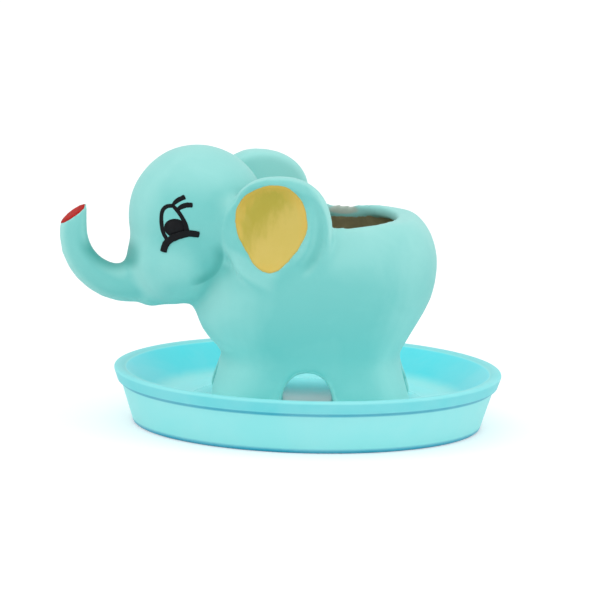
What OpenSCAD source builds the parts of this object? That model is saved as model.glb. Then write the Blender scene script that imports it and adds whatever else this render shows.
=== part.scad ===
// Elephant plant pot with a round saucer.
// The elephant is one hollow fired casting: its open back holds the plant,
// a drain hole goes through the belly, and it stands loose in the saucer.
// Thin films of paint colour the eyes, the ear dishes and the end of the trunk.
// The origin is the centre of the saucer's underside. The elephant faces -X.

/* [Saucer] */
// Outer diameter over the rim band
saucer_d = 172; // [150:1:200]
// Height from the table to the crest of the lip
saucer_h = 24.6; // [21:0.1:32]
// Diameter of the underside
saucer_foot_d = 153; // [140:1:160]
// Diameter of the level floor inside
saucer_floor_d = 128; // [120:1:134]
// Thickness of the floor
saucer_floor_t = 11.5; // [7:0.1:13]
// Height of the raised band round the rim
rim_band_h = 6.4; // [4:0.1:9]
// How far the band's lower edge stands out from the wall below it
rim_band_step = 1.4; // [0.9:0.1:3]
// How much farther out the band's upper edge stands than its lower one
rim_band_lean = 2.2; // [0:0.1:3.5]
// Width of the rounded lip
lip_w = 5; // [4:0.1:6]

/* [Body] */
// Length of the body from chest to rump
body_len = 108; // [96:1:120]
// Width of the body over its flanks
body_w = 86; // [78:1:96]
// Height of the closed back above the feet
body_h = 88; // [80:1:98]
// Where the middle of the body stands, from the saucer's centre
body_x = 1.8; // [-6:0.1:6]
// Thickness of the clay
wall = 5; // [3.5:0.1:6.5]
// Length of the opening in the back
opening_len = 47; // [40:1:56]
// Width of the opening in the back
opening_w = 60; // [50:1:64]
// Where the middle of the opening lies, from the saucer's centre
opening_x = 14; // [10:0.5:20]
// Height of the opening's level rim above the feet
rim_z = 82.8; // [80:0.1:86]
// Diameter of the drain hole in the belly
drain_d = 10; // [6:0.5:14]

/* [Legs] */
// Width of the arch between the front and hind legs
side_arch_w = 23; // [16:0.5:28]
// Height of the arch between the front and hind legs
side_arch_h = 17.2; // [12:0.1:19]
// Width of the arch between the left and right legs
front_arch_w = 25; // [18:0.5:30]
// Height of the arch between the left and right legs
front_arch_h = 14; // [10:0.5:18]

/* [Head] */
// Diameter of the forehead's ball
head_d = 61.5; // [54:0.5:68]
// Where the middle of the head lies, in front of the saucer's centre
head_x = 50.6; // [46:0.5:56]
// Height of the middle of the head above the feet
head_z = 81.2; // [76:0.1:86]
// Turn of the head to the elephant's left, in degrees
head_turn = 8; // [0:0.5:10]
// How far the muzzle's middle lies in front of the head's
muzzle_shift = 10.5; // [8:0.1:14]
// Height of the middle of the muzzle above the feet
muzzle_z = 62.3; // [58:0.1:66]
// Distance of the turning line of the neck in front of the saucer's centre
neck_x = 18; // [10:1:26]
// Length of the muzzle and cheeks, front to back
muzzle_len = 41; // [36:0.5:46]
// Width of the muzzle over both cheeks
muzzle_w = 56; // [48:0.5:62]
// Height of the muzzle and cheeks
muzzle_h = 41.4; // [38:0.1:48]
// How far the middle of the lower lip lies in front of the head's
lip_shift = 19.2; // [14:0.1:20]
// Height of the middle of the lower lip above the feet
lip_z = 46.2; // [43:0.1:48]

/* [Trunk] */
// Thickness of the trunk near its end
trunk_tip_d = 12; // [9:0.1:15]
// Thickness of the trunk where it leaves the muzzle
trunk_root_d = 25; // [18:0.1:28]
// Radius of the upward bend, at the middle of the trunk
trunk_bend_r = 24; // [20:0.5:27]
// Distance of the upright end in front of the middle of the head
trunk_reach = 55.2; // [50:0.1:62]
// Height of the middle of the trunk above the feet at its lowest
trunk_low = 50.9; // [48:0.1:54]
// Height of the end's middle above the feet
trunk_top = 82.6; // [80:0.1:92]
// Slope of the cut at the end of the trunk, in degrees
trunk_cut = 36; // [15:1:45]
// Lean of the cut towards the elephant's left, in degrees
trunk_lean = 5; // [0:0.5:12]

/* [Ears] */
// Length of an ear, front to back
ear_w = 47.6; // [42:0.5:54]
// Height of an ear
ear_h = 50.5; // [44:0.5:58]
// Thickness of an ear at its rim
ear_t = 11; // [9:0.5:14]
// How far an ear's rim lies inside the body's widest side
ear_inset = 2; // [0:0.5:8]
// Where the middle of an ear lies, in front of the saucer's centre
ear_x = 20.2; // [16:0.1:24]
// Height of the middle of an ear above the feet
ear_z = 79.6; // [74:0.1:86]
// How far the lower edge of an ear leans outwards, in degrees
ear_tip = 3; // [0:0.5:6]
// How much higher the right ear sits than the left one
right_ear_rise = 0.6; // [0:0.1:3]
// How far the top of the right ear tilts to the rear, in degrees
right_ear_tilt = 9; // [0:0.5:16]
// Length of the hollowed dish, front to back
dish_w = 32; // [26:0.5:36]
// Height of the hollowed dish
dish_h = 39.6; // [32:0.1:42]
// Depth of the dish
dish_depth = 6; // [3:0.1:8]

/* [Paint] */
// Thickness of the paint films
paint_t = 0.3; // [0.2:0.05:0.5]
// Width of the lid lines of an eye
lid_line_w = 1.5; // [1:0.1:2]
// Width of the lower lid's stroke
lower_line_w = 2.5; // [1.6:0.1:3.2]
// Height of a painted eye
eye_h = 24; // [18:0.5:26]
// Width of a painted eye
eye_w = 17; // [13:0.5:19]

/* [Hidden] */

turquoise = [0.54, 0.87, 0.84];
pale_cyan = [0.56, 0.91, 0.92];
ochre = [0.82, 0.73, 0.36];
brick_red = [0.79, 0.22, 0.22];
ink = [0.16, 0.16, 0.17];

// One overrun serves every cut
over = 1;
// The elephant's feet stand on the saucer's floor
feet_z = saucer_floor_t;

// Saucer: the small rounds of its section
foot_chamfer = 1.2;
floor_fillet_r = 7;
band_edge_r = 0.8;
lip_outer_r = 1.3;
lip_inner_r = 2.2;

// Body outline by height: shares of the height, of the length in front of
// and behind the body's middle, and of the half width, then the squareness
body_shares = [
    [0.000, 0.802, 0.790, 0.945, 3.2],
    [0.012, 0.826, 0.812, 0.975, 3.2],
    [0.060, 0.830, 0.806, 0.975, 3.1],
    [0.148, 0.782, 0.752, 0.930, 2.9],
    [0.239, 0.742, 0.712, 0.905, 2.7],
    [0.307, 0.850, 0.763, 0.930, 2.5],
    [0.409, 0.957, 0.859, 0.970, 2.35],
    [0.534, 0.980, 0.962, 1.000, 2.25],
    [0.682, 0.930, 1.000, 0.990, 2.2],
    [0.795, 0.800, 0.980, 0.912, 2.3],
    [0.886, 0.620, 0.906, 0.800, 2.5],
    [0.949, 0.420, 0.796, 0.664, 2.6],
    [0.983, 0.240, 0.645, 0.490, 2.5],
    [1.000, -0.150, 0.400, 0.120, 2.2]
];
body_steps = 2;
body_sides = 44;
cavity_sides = 36;

// Hollow: the rows of the table where its wall starts and ends, how much
// narrower its floor is, and the height where the opening's cut starts
cavity_first_row = 4.5;
cavity_last_row = 10;
cavity_floor_share = 0.9;
opening_start_share = 0.86;

// Lower lip: its length, width and height as shares of the muzzle's
lip_shares = [0.4, 0.36, 0.27];

// Head: width and height of the forehead's ball as shares of its diameter
head_ball_shares = [1, 0.98, 1.02];
head_sides = 44;
muzzle_sides = 36;
// Neck, each side: place and diameter of its ball inside the head, as shares
// of the head's diameter, and of its ball inside the body, as shares of the
// body's width and height
neck_front_shares = [0.22, 0.16, -0.06, 0.56];
neck_rear_shares = [0.14, 0.18, 0.66, 0.42];

// Arches: squareness of the section, and how far and how deep the mouths flare
arch_squareness = 2.3;
arch_flare = 2;
arch_flare_len = 7;

// Trunk: where it leaves the muzzle and where its bend ends, as shares of
// its length, and how much it swells at its root
trunk_leave_share = 0.28;
trunk_turn_share = 0.72;
trunk_swell_share = 0.2;
// How far the trunk's root runs back into the head, and how much it rises there
trunk_root_run = 20;
trunk_root_rise = 5.8;
// How fast its thickness grows towards the root
trunk_taper_power = 2.6;
trunk_rings = 16;
trunk_sides = 24;

// Bare clay left round the painted end
tip_rim = 0.4;

// Ears: the lean of the front edge towards the head, in degrees
ear_lean = 12;
ear_sides = 32;
ear_egg_share = -0.02;
ear_squareness = 2.35;
// The dish: its middle and its deepest place in shares of the ear and of
// the dish, and how much wider it is at the top
dish_place_shares = [-0.065, 0.032];
dish_deep_shares = [-0.12, 0.10];
dish_egg_share = 0.25;
dish_slant_share = 0.08;
// How steep the dish's side is at its edge and how round its bottom is
dish_side_power = 2.4;
dish_bottom_power = 0.9;
// Rim from the dish's edge to the outer edge and round to the back: place
// across the rim, and height as a share of the ear's thickness
rim_shares = [
    [-0.60, 0.06], [0.02, 0.06], [0.20, 0.05], [0.36, -0.01], [0.52, -0.07], [0.70, -0.04], [0.86, -0.09],
    [0.96, -0.24], [1.00, -0.44], [0.97, -0.66], [0.86, -0.86], [0.66, -1.00]
];
mouth_flare_share = 0.1;
// Groove along the rear of the rim: depth as a share of the ear's thickness,
// and its middle and half width across the rim
groove_share = 0.12;
groove_place_share = 0.52;
groove_half_share = 0.3;
// How far the dish reaches at each ring, from its middle to its edge. The
// paint ends at the last but one
dish_rings = [0.02, 0.30, 0.55, 0.76, 0.90, 0.97, 1.00];

// Eyes: the middle of an eye from the middle of the forehead's ball, as
// shares of its diameter
eye_place_shares = [-0.194, 0.018];
// Strokes, as shares of the eye's width and height from its middle
lid_front_shares = [[-0.39, -0.25], [-0.47, -0.05], [-0.48, 0.14], [-0.45, 0.26], [-0.34, 0.33], [-0.18, 0.35]];
lid_rear_shares = [[-0.18, 0.34], [-0.08, 0.26], [0.02, 0.16], [0.10, 0.06], [0.14, -0.03], [0.16, -0.12]];
upper_lash_shares = [[-0.18, 0.36], [-0.04, 0.44], [0.13, 0.49]];
lower_lash_shares = [[-0.05, 0.26], [0.03, 0.31], [0.13, 0.335], [0.31, 0.345]];
lower_lid_shares = [[-0.39, -0.49], [-0.355, -0.38], [-0.28, -0.30], [-0.11, -0.25], [0.08, -0.20], [0.26, -0.165], [0.47, -0.18]];
pupil_shares = [-0.11, -0.10];
pupil_size_shares = [0.57, 0.34];
lash_w_share = 1.15;

// Points from a centre, radius and two angles
function arc(c, r, a0, a1, n = 6) =
    [for (i = [0:n]) let (a = a0 + (a1 - a0) * i / n) c + r * [cos(a), sin(a)]];

// A smooth curve through rows of values, at place s
function blend(p, q, r, t, u) =
    (2 * q + (r - p) * u + (2 * p - 5 * q + 4 * r - t) * u * u + (3 * q - p - 3 * r + t) * u * u * u) / 2;
function along(rows, s) =
    let (last = len(rows) - 1, k = min(floor(s), last - 1))
    blend(rows[max(k - 1, 0)], rows[k], rows[k + 1], rows[min(k + 2, last)], s - k);

// One point of an oval whose corners are squared by n
function oval(a, b, n, t) =
    [a * sign(cos(t)) * pow(abs(cos(t)), 2 / n), b * sign(sin(t)) * pow(abs(sin(t)), 2 / n)];

// A closed solid through rings of points, each ring with as many points
module loft(rings) {
    m = len(rings[0]);
    n = len(rings);
    points = [for (ring = rings) each ring];
    sides = [for (j = [0:n - 2], i = [0:m - 1])
        let (a = j * m + i, b = j * m + (i + 1) % m)
        each [[a, b + m, b], [a, a + m, b + m]]];
    polyhedron(points, concat(
        [[for (i = [0:m - 1]) i]],
        sides,
        [[for (i = [m - 1:-1:0]) (n - 1) * m + i]]));
}

// Ring of the body at place s of its table, drawn in by inset
function body_ring(s, inset, sides) =
    let (
        row = along(body_shares, s),
        half = body_len / 2,
        front = body_x - half * row[1] + inset,
        rear = body_x + half * row[2] - inset,
        wide = body_w / 2 * row[3] - inset,
        mid = (front + rear) / 2)
    [for (i = [0:sides - 1])
        let (p = oval((rear - front) / 2, wide, row[4], 360 * i / sides))
        [mid + p[0], p[1], feet_z + body_h * row[0]]];

module body_form() {
    last = len(body_shares) - 1;
    difference() {
        loft([for (k = [0:last * body_steps]) body_ring(k / body_steps, 0, body_sides)]);
        translate([0, 0, feet_z + rim_z + body_h / 2]) cube([2 * body_len, 2 * body_w, body_h], center = true);
    }
}

// The hollow that holds the plant, a wall's thickness inside the body
module cavity() {
    belly = max(side_arch_h, front_arch_h) + wall;
    rings = [for (k = [0:(cavity_last_row - cavity_first_row) * body_steps])
        body_ring(cavity_first_row + k / body_steps, wall, cavity_sides)];
    floor_ring = [for (p = rings[0])
        [body_x + (p[0] - body_x) * cavity_floor_share, p[1] * cavity_floor_share, feet_z + belly]];
    loft(concat([floor_ring], rings));
}

// The opening cut down through the back
module opening() {
    translate([opening_x, 0, feet_z + body_h * opening_start_share])
        linear_extrude(body_h)
            scale([opening_len, opening_w])
                circle(d = 1, $fn = 60);
}

// A half-oval plate across the Y axis
module arch_plate(w, h, y) {
    translate([0, y, 0])
        rotate([90, 0, 0])
            linear_extrude(over, center = true)
                polygon([for (t = [0:9:360]) oval(w / 2, h, arch_squareness, t)]);
}

// A tunnel of half-oval section along Y, whose two mouths flare outwards
module arch(w, h, length) {
    hull()
        for (end = [-0.5, 0.5]) arch_plate(w, h, length * end);
    for (end = [-0.5, 0.5])
        hull() {
            arch_plate(w, h, length * end - sign(end) * arch_flare_len);
            arch_plate(w + 2 * arch_flare, h + arch_flare, length * end);
        }
}

// What belongs to the head turns with it
module head_frame() {
    translate([-neck_x, 0, 0])
        rotate([0, 0, head_turn])
            translate([neck_x, 0, 0])
                children();
}

// A ball at a place in the head's frame
module ball(at, size, sides = 26) {
    translate(at)
        scale(size / 2)
            sphere(r = 1, $fn = sides);
}

// Forehead and cheeks, drawn out by grow
module head_form(grow = 0) {
    more = [1, 1, 1] * 2 * grow;
    ball([-head_x, 0, feet_z + head_z], head_d * head_ball_shares + more, head_sides);
    ball([-head_x - muzzle_shift, 0, feet_z + muzzle_z], [muzzle_len, muzzle_w, muzzle_h] + more, muzzle_sides);
}

// The lower lip under the trunk's root
module lip_form() {
    size = [muzzle_len, muzzle_w, muzzle_h];
    ball([-head_x - lip_shift, 0, feet_z + lip_z], [for (i = [0:2]) size[i] * lip_shares[i]]);
}

// Fills the dip between the head and the body on each side and on top
module neck_form() {
    front = head_d * neck_front_shares;
    rear = body_w * neck_rear_shares;
    for (side = [-1, 1])
        hull() {
            ball([front[0] - head_x, side * front[1], feet_z + head_z + front[2]], [1, 1, 1] * front[3]);
            ball([rear[0] - neck_x, side * rear[1], feet_z + body_h * neck_rear_shares[2]], [1, 1, 1] * rear[3]);
        }
}

// Trunk: middle line, slope of the ring and its thickness at share s
trunk_x = -head_x - trunk_reach;
bend_x = trunk_x + trunk_bend_r;
bend_z = feet_z + trunk_low + trunk_bend_r;
function bend_share(s) = min(1, max(0, (s - trunk_leave_share) / (trunk_turn_share - trunk_leave_share)));
function trunk_middle(s) =
    s < trunk_leave_share
        ? [bend_x, bend_z - trunk_bend_r] + (1 - s / trunk_leave_share) * [trunk_root_run, trunk_root_rise]
        : s < trunk_turn_share
            ? [bend_x, bend_z] - trunk_bend_r * [sin(90 * bend_share(s)), cos(90 * bend_share(s))]
            : [trunk_x, bend_z + (feet_z + trunk_top - bend_z) * (s - trunk_turn_share) / (1 - trunk_turn_share)];
function trunk_tilt(s) =
    s < trunk_turn_share
        ? 90 * bend_share(s) - 90
        : -trunk_cut * (s - trunk_turn_share) / (1 - trunk_turn_share);
function trunk_d(s) =
    trunk_tip_d + (trunk_root_d - trunk_tip_d) * pow(1 - s, trunk_taper_power)
    + trunk_root_d * trunk_swell_share * pow(max(0, 1 - s / trunk_leave_share), 2);

function trunk_side(s) = tan(trunk_lean) * max(0, (s - trunk_turn_share) / (1 - trunk_turn_share));
function trunk_stretch(s) = s < trunk_turn_share ? 1 : 1 / cos(trunk_tilt(s));
function trunk_ring(s) =
    let (at = trunk_middle(s), tilt = trunk_tilt(s), r = trunk_d(s) / 2)
    [for (i = [0:trunk_sides - 1])
        let (t = 360 * i / trunk_sides, out = r * trunk_stretch(s) * cos(t))
        [at[0] + out * cos(tilt), r * sin(t), at[1] - out * sin(tilt) + r * sin(t) * trunk_side(s)]];

module trunk() {
    loft([for (i = [0:trunk_rings]) trunk_ring(i / trunk_rings)]);
}

// The painted end, lifted off the cut
function tip_ring(lift) =
    let (
        at = trunk_middle(1),
        middle = [at[0], 0, at[1]],
        out = [sin(trunk_tilt(1)), -cos(trunk_tilt(1)) * trunk_side(1), cos(trunk_tilt(1))],
        share = 1 - 2 * tip_rim / trunk_d(1))
    [for (p = trunk_ring(1)) middle + (p - middle) * share + out / norm(out) * lift];

// An ear lies in its own plane: x to the rear, y up, z away from the head
module left_ear_frame() {
    translate([-ear_x, ear_inset - body_w / 2, feet_z + ear_z])
        rotate([90 - ear_tip, 0, 0])
            rotate([0, -ear_lean, 0])
                children();
}
module right_ear_frame() {
    translate([0, 0, right_ear_rise])
        mirror([0, 1, 0])
            left_ear_frame()
                rotate(-right_ear_tilt)
                    children();
}

function egg(w, h, share, t) = [w / 2 * cos(t) * (1 + share * sin(t)), h / 2 * sin(t)];
function ear_edge(t) =
    let (p = oval(ear_w / 2, ear_h / 2, ear_squareness, t))
    [p[0] * (1 + ear_egg_share * sin(t)), p[1]];
function dish_middle() = [ear_w * dish_place_shares[0], ear_h * dish_place_shares[1]];
function dish_edge(t) =
    let (p = egg(dish_w, dish_h, dish_egg_share, t))
    dish_middle() + [p[0] + p[1] * dish_slant_share, p[1]];
function dish_ring(k, lift) =
    let (
        deep = dish_middle() + [dish_w * dish_deep_shares[0], dish_h * dish_deep_shares[1]],
        z = -dish_depth * pow(max(0, 1 - pow(k, dish_side_power)), dish_bottom_power) + lift)
    [for (i = [0:ear_sides - 1])
        let (p = deep + (dish_edge(-360 * i / ear_sides) - deep) * k)
        [p[0], p[1], z]];
function rim_ring(row) =
    [for (i = [0:ear_sides - 1])
        let (
            t = -360 * i / ear_sides,
            p = dish_edge(t) + (ear_edge(t) - dish_edge(t)) * row[0],
            groove = groove_share * max(0, cos(t)) * max(0, 1 - abs(row[0] - groove_place_share) / groove_half_share))
        [p[0], p[1], ear_t * (row[1] - groove)]];

// The ear before its dish is hollowed out
module ear() {
    loft([for (row = rim_shares) rim_ring(row)]);
}

// What the dish hollows out of the ear and of the head beside it
module dish_hollow() {
    loft(concat(
        [dish_ring(1 + mouth_flare_share, ear_t)],
        [for (i = [len(dish_rings) - 1:-1:0]) dish_ring(dish_rings[i], 0)]));
}

module ear_film() {
    last = len(dish_rings) - 2;
    loft(concat(
        [for (i = [0:last]) dish_ring(dish_rings[i], paint_t)],
        [for (i = [last:-1:0]) dish_ring(dish_rings[i], 0)]));
}

// A painted stroke through points, with round ends
module stroke(shares, w) {
    points = [for (p = shares) [p[0] * eye_w, p[1] * eye_h]];
    for (i = [0:len(points) - 2])
        hull()
            for (p = [points[i], points[i + 1]])
                translate(p)
                    circle(d = w, $fn = 14);
}

module eye_strokes() {
    stroke(lid_front_shares, lid_line_w);
    stroke(lid_rear_shares, lid_line_w);
    stroke(upper_lash_shares, lid_line_w * lash_w_share);
    stroke(lower_lash_shares, lid_line_w * lash_w_share);
    stroke(lower_lid_shares, lower_line_w);
    translate([pupil_shares[0] * eye_w, pupil_shares[1] * eye_h])
        scale([pupil_size_shares[0] * eye_w, pupil_size_shares[1] * eye_h])
            circle(d = 1, $fn = 32);
}

// The strokes as a film on the left side of the head
module left_eye_film() {
    intersection() {
        translate([-head_x + eye_place_shares[0] * head_d, 0, feet_z + head_z + eye_place_shares[1] * head_d])
            rotate([90, 0, 0])
                linear_extrude(head_d)
                    eye_strokes();
        difference() {
            head_form(paint_t);
            head_form();
        }
    }
}

module saucer() {
    band_r = saucer_d / 2;
    edge_r = band_r - rim_band_lean;
    wall_r = edge_r - rim_band_step;
    foot_r = saucer_foot_d / 2;
    floor_r = saucer_floor_d / 2;
    band_z = saucer_h - rim_band_h;
    inner_r = band_r - lip_w;
    slope = atan2(saucer_h - lip_inner_r - saucer_floor_t, inner_r - floor_r);
    color(pale_cyan)
        rotate_extrude($fn = 120)
            polygon([
                [0, 0],
                [foot_r - foot_chamfer, 0],
                [foot_r, foot_chamfer],
                [wall_r, band_z],
                each arc([edge_r - band_edge_r, band_z + band_edge_r], band_edge_r, -90, 0),
                each arc([band_r - lip_outer_r, saucer_h - lip_outer_r], lip_outer_r, 0, 90),
                each arc([inner_r + lip_inner_r, saucer_h - lip_inner_r], lip_inner_r, 90, 180),
                each arc(
                    [floor_r - floor_fillet_r * tan(slope / 2), saucer_floor_t + floor_fillet_r],
                    floor_fillet_r, slope - 90, -90),
                [0, saucer_floor_t]
            ]);
}

module pot() {
    color(turquoise)
        difference() {
            union() {
                body_form();
                head_frame() {
                    head_form();
                    lip_form();
                    neck_form();
                    trunk();
                    left_ear_frame() ear();
                    right_ear_frame() ear();
                }
            }
            head_frame() {
                left_ear_frame() dish_hollow();
                right_ear_frame() dish_hollow();
            }
            cavity();
            opening();
            translate([0, 0, feet_z]) arch(side_arch_w, side_arch_h, body_w + 2 * over);
            translate([body_x, 0, feet_z]) rotate([0, 0, 90]) arch(front_arch_w, front_arch_h, body_len + 2 * over);
            cylinder(d = drain_d, h = feet_z + body_h / 2, $fn = 32);
        }
}

module ear_paint_left() {
    color(ochre) head_frame() left_ear_frame() ear_film();
}

module ear_paint_right() {
    color(ochre) head_frame() right_ear_frame() ear_film();
}

module eye_left() {
    color(ink) head_frame() left_eye_film();
}

module eye_right() {
    color(ink) head_frame() mirror([0, 1, 0]) left_eye_film();
}

module trunk_tip_paint() {
    color(brick_red) head_frame() loft([tip_ring(0), tip_ring(paint_t)]);
}

saucer();
pot();
ear_paint_left();
ear_paint_right();
eye_left();
eye_right();
trunk_tip_paint();
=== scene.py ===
import math
from functools import reduce
from types import SimpleNamespace

import bmesh
import bpy
import numpy as np
from bpy.props import FloatProperty, FloatVectorProperty, IntProperty, PointerProperty
from mathutils import Matrix, Vector, noise
from mathutils.bvhtree import BVHTree


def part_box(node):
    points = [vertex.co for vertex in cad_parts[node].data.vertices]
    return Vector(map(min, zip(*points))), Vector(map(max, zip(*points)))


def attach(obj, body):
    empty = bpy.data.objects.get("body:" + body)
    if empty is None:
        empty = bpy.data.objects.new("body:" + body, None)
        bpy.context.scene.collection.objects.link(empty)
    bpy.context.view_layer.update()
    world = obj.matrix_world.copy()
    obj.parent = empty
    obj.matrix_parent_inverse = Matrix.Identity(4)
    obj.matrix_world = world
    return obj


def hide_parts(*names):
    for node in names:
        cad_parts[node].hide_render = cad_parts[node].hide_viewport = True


bl_info = {
    "name": "Elephant plant pot",
    "version": (1, 0, 0),
    "blender": (4, 5, 0),
    "location": "View3D > Sidebar > Clay",
    "description": "Painted clay elephant pot in its round saucer",
    "category": "Object",
}

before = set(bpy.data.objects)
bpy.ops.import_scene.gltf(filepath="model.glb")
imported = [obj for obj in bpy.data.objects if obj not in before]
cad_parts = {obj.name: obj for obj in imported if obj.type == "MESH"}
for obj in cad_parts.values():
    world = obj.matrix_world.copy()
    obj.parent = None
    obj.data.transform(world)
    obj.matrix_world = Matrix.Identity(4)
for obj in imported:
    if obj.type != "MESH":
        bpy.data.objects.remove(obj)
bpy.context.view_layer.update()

MM = 0.001
JOIN = 1e-6  # vertices closer than this are one
FLOOR_Z = 11.5 * MM  # the feet stand on the saucer's floor
MOUTH = Vector((14 * MM, 0, 0))  # middle of the opening in the back
MOUTH_HALF = Vector((23.5 * MM, 30 * MM))

NECK_X = -18 * MM  # the head is turned about an upright line here
HEAD_ANGLE = math.radians(8)
EAR_MIDDLE = (-20.2 * MM, -41 * MM, 91.1 * MM)
EAR_HALF = (23.8 * MM, 25.2 * MM)
EAR_UPRIGHT = math.radians(87)
EAR_LEAN = math.radians(-12)
# The right ear sits a little higher, its top tilted to the rear
FAR_EAR_RISE = 0.6 * MM
FAR_EAR_TILT = math.radians(-9)
TRUNK_CUT = math.radians(36)
TRUNK_LEAN = math.radians(5)

HEAD_TURN = (
    Matrix.Translation((NECK_X, 0, 0))
    @ Matrix.Rotation(HEAD_ANGLE, 4, "Z")
    @ Matrix.Translation((-NECK_X, 0, 0))
)
FAR_SIDE = Matrix.Diagonal((1, -1, 1, 1))
EAR_PLANE = (
    Matrix.Translation(EAR_MIDDLE)
    @ Matrix.Rotation(EAR_UPRIGHT, 4, "X")
    @ Matrix.Rotation(EAR_LEAN, 4, "Y")
)
FAR_EAR_PLANE = (
    Matrix.Translation((0, 0, FAR_EAR_RISE))
    @ FAR_SIDE
    @ EAR_PLANE
    @ Matrix.Rotation(FAR_EAR_TILT, 4, "Z")
)

# Patches of paint, of painted highlights and of painted shade. Each is the product of its
# rows, and a row tells what it follows, where it starts, where it is full, and its strength if that isn't
# 1.
# Places are in millimetres, and how far the clay faces a way goes from -1 to 1.
POT_PATCHES = {
    # Painted highlights: the ends, fronts, tops, ear backs, cheek and shoulder are paler where the light
    # falls, less so on the rump and the ear tops
    "ends": (("facing_side", 0.97, 0.55, 0.65),),
    "rump": (("facing_x", 0.6, 0.95, 0.6), ("z", 50, 65)),
    "fronts": (("facing_x", -0.1, -0.6), ("z", 72, 60, 0.45)),
    "tops": (("facing_z", 0.15, 0.75, 0.8),),
    "ear_tops": (("off_middle", 35, 39), ("z", 92, 100, 0.8)),
    "ear_backs": (("facing_out", -0.1, -0.6), ("z", 86, 92)),
    "cheek": (("from_cheek", 15, 4, 0.5),),
    "shoulder": (("z", 62, 86), ("x", -6, 16, 0.5)),
    # Painted highlight under the ear's dish
    "lobe": (("across_lobe", 6.5, 2.5), ("along_lobe", 17, 10)),
    # Painted shade on faces turned down
    "under": (("facing_z", -0.2, -0.9, 0.2),),
    "belly": (("facing_z", -0.3, -0.6), ("z", 52, 46)),
    # Painted highlights on ridges, stronger on the ears' rims
    "ear_rims": (("off_middle", 33, 38), ("z", 66, 76, 0.55), ("z", 112, 104), ("x", -36, -22)),
    "ridges": (("hollow", -0.5, -1.2),),
    # Painted shade in creases, in the trunk's inner bend and in a crescent behind the jaw
    "creases": (("hollow", 0.0, 1.1, 0.4),),
    "trunk_bend": (("from_bend", 19.5, 14), ("z", 85, 77), ("x", -73, -79)),
    "crescent": (("from_jaw", 7, 12), ("from_jaw", 13.8, 12.4), ("behind_jaw", 0.3, 0.85, 0.8)),
    "specks": (("speckled", 0.70, 0.78, 0.12),),
    "worn_rim": (("from_worn_rim", 4.2, 2.6, 0.5),),
    "worn_tip": (("off_cut", 0.8, 0.3), ("from_tip", 9.5, 8.5, 0.75)),
}

# What the pot's patches are measured from, in millimetres, and shares of them
CHEEK = (-60, 0, 73)
JAW = (-51.5, 0, 78.5)
JAW_REAR = (0.85, 0, -0.53)
TRUNK_BEND = (-85.5, 0, 86.5)
WORN_RIM = (14, 29, 91.5)
WORN_RIM_SHAPE = (0.55, 0.8, 1.6)
# The lobe is a painted highlight under the dish, from the cheek to the ear's lowest point
LOBE = (-28, 0, 75)
ALONG_LOBE = (0.92, 0, -0.4)
ACROSS_LOBE = (0.4, 0, 0.92)
LOBE_HIGHLIGHT = 0.5
# Strength of the painted highlight on ridges
RIDGE_HIGHLIGHT = 0.2
PATCHY_CHALK = 0.25
RAGGED_PAINT = 3.4  # how far the paint's end wanders inside the mouth
RAGGED_RIM = 0.6  # how much of that the worn rim follows

SAUCER_PATCHES = {
    "inner_wall": (("ragged_height", 11.9, 16), ("outward", 0.55, 0.25), ("radius", 80.9, 79.8, 0.95)),
    # Painted light: the floor is paler, to lift the shade under the pot
    "within": (("outward", 0.55, 0.25), ("radius", 81, 80), ("height", 10, 11)),
    "band": (("height", 18.4, 19.4), ("height", 24.3, 23), ("radius", 83, 83.6, 0.62)),
    "lip": (("height", 22.5, 23.5), ("radius", 80, 81.5, 0.31)),
    # Painted shade under the band and a dark painted line of shade round the foot
    "under_band": (("height", 16.9, 17.7, 0.85), ("height", 19.2, 18.7), ("radius", 81.3, 81.9, 0.95)),
    "round_foot": (("height", 2.6, 0.8), ("radius", 74, 75, 0.95)),
    "glazed": (("radius", 58, 44, 0.23),),
}
RAGGED_HEIGHT = 1.5

DISH_PATCHES = {
    # Olive towards the head: thinner yellow, and painted shade
    "thin": (("towards_head", -3, 7),),
    "edge": (("from_middle", 13.5, 18.5, 0.35),),
}
DISH_THIN_AND_SHADED = 0.8
TOWARDS_HEAD = (-0.75, 0.0, 0.62)
DISH_SHAPE = (1.18, 0.2, 0.95)
RAGGED_THIN = 10
RAGGED_EDGE = 7


def srgb(*channels):
    """A colour seen as 0 to 255, as Blender's linear colour."""
    return tuple(((c / 255 + 0.055) / 1.055) ** 2.4 if c > 10 else c / 255 / 12.92 for c in channels)


def darkened(paint, share):
    return [channel * share for channel in paint]


def colour(name, description, rgb):
    return FloatVectorProperty(
        name=name, description=description, subtype="COLOR", size=3, min=0, max=1, default=srgb(*rgb)
    )


def amount(name, description, default, **more):
    return FloatProperty(name=name, description=description, min=0, default=default, **more)


def length(name, description, default):
    return amount(name, description, default, unit="LENGTH", precision=5)


def angle(name, description, degrees):
    return FloatProperty(
        name=name, description=description, subtype="ANGLE", default=math.radians(degrees)
    )


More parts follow.
